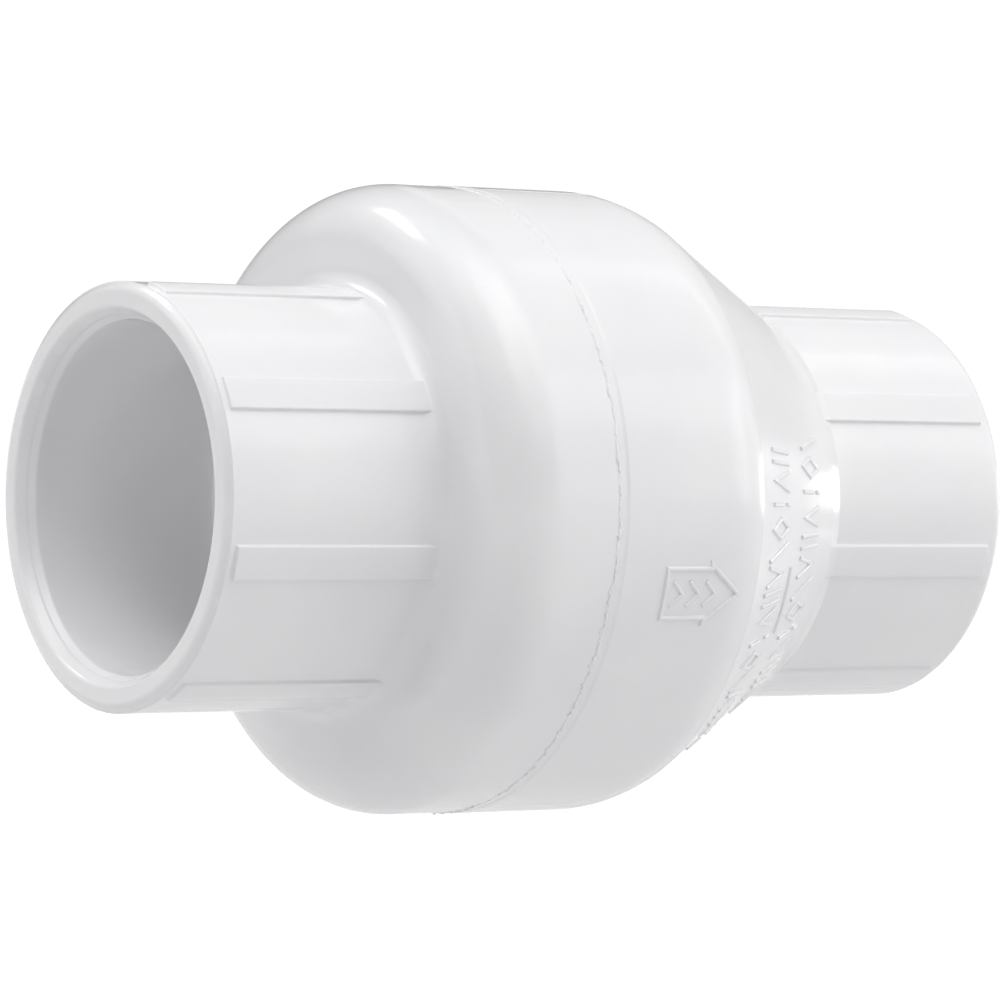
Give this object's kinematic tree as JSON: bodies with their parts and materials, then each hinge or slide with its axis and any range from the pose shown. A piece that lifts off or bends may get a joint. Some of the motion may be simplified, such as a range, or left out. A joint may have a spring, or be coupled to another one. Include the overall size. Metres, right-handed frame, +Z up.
{
  "type": "swing check valve",
  "caption": "White PVC in-line swing check valve with solvent sockets at both ends: a spring-closed clapper on a hinge pin lets water pass one way only.",
  "frame": {"origin": "middle of the valve on its flow axis, halfway between the two end faces", "axes": "+X is the flow direction, from the inlet to the outlet; +Z is up, with the hinge pin above the flow axis; the pin runs along Y"},
  "size_m": [0.135, 0.0894, 0.0894],
  "materials": {
    "white_pvc": "moulded white PVC, smooth and glossy",
    "weld_pvc": "rough squeezed-out PVC bead",
    "grey_pvc": "moulded grey PVC, satin",
    "black_epdm": "matt black EPDM rubber",
    "white_acetal": "natural acetal, satin",
    "stainless": "bright stainless steel"
  },
  "bodies": {
    "valve_body": {"inlet_body": "white_pvc", "outlet_body": "white_pvc", "weld_bead": "weld_pvc", "seat_ring": "grey_pvc", "seat_o_ring": "black_epdm", "hinge_bracket": "grey_pvc", "bracket_screw_left": "stainless", "bracket_screw_right": "stainless", "seat_screw_left": "stainless", "seat_screw_right": "stainless", "hinge_pin": "stainless", "pin_clip_left": "stainless", "pin_clip_right": "stainless", "torsion_spring": "stainless"},
    "clapper": {"clapper_arm": "grey_pvc", "hinge_bush_left": "white_acetal", "hinge_bush_right": "white_acetal"},
    "disc": {"clapper_disc": "white_pvc", "clapper_seal": "black_epdm", "seal_retainer": "stainless", "stud_sleeve": "stainless", "clapper_screw": "stainless", "clapper_washer": "stainless", "clapper_nut": "stainless"}
  },
  "joints": [
    {"name": "clapper_hinge", "type": "hinge", "parent": "valve_body", "child": "clapper", "pos_m": [-0.015, 0, 0.031], "axis": [0, -1, 0], "range_deg": [0, 72], "stiffness_Nm_per_rad": 0.07, "springref_deg": -68.75, "deforming": ["torsion_spring"]},
    {"name": "disc_turn", "type": "hinge", "parent": "clapper", "child": "disc", "pos_m": [0, 0, 0], "axis": [1, 0, 0], "continuous": true}
  ]
}
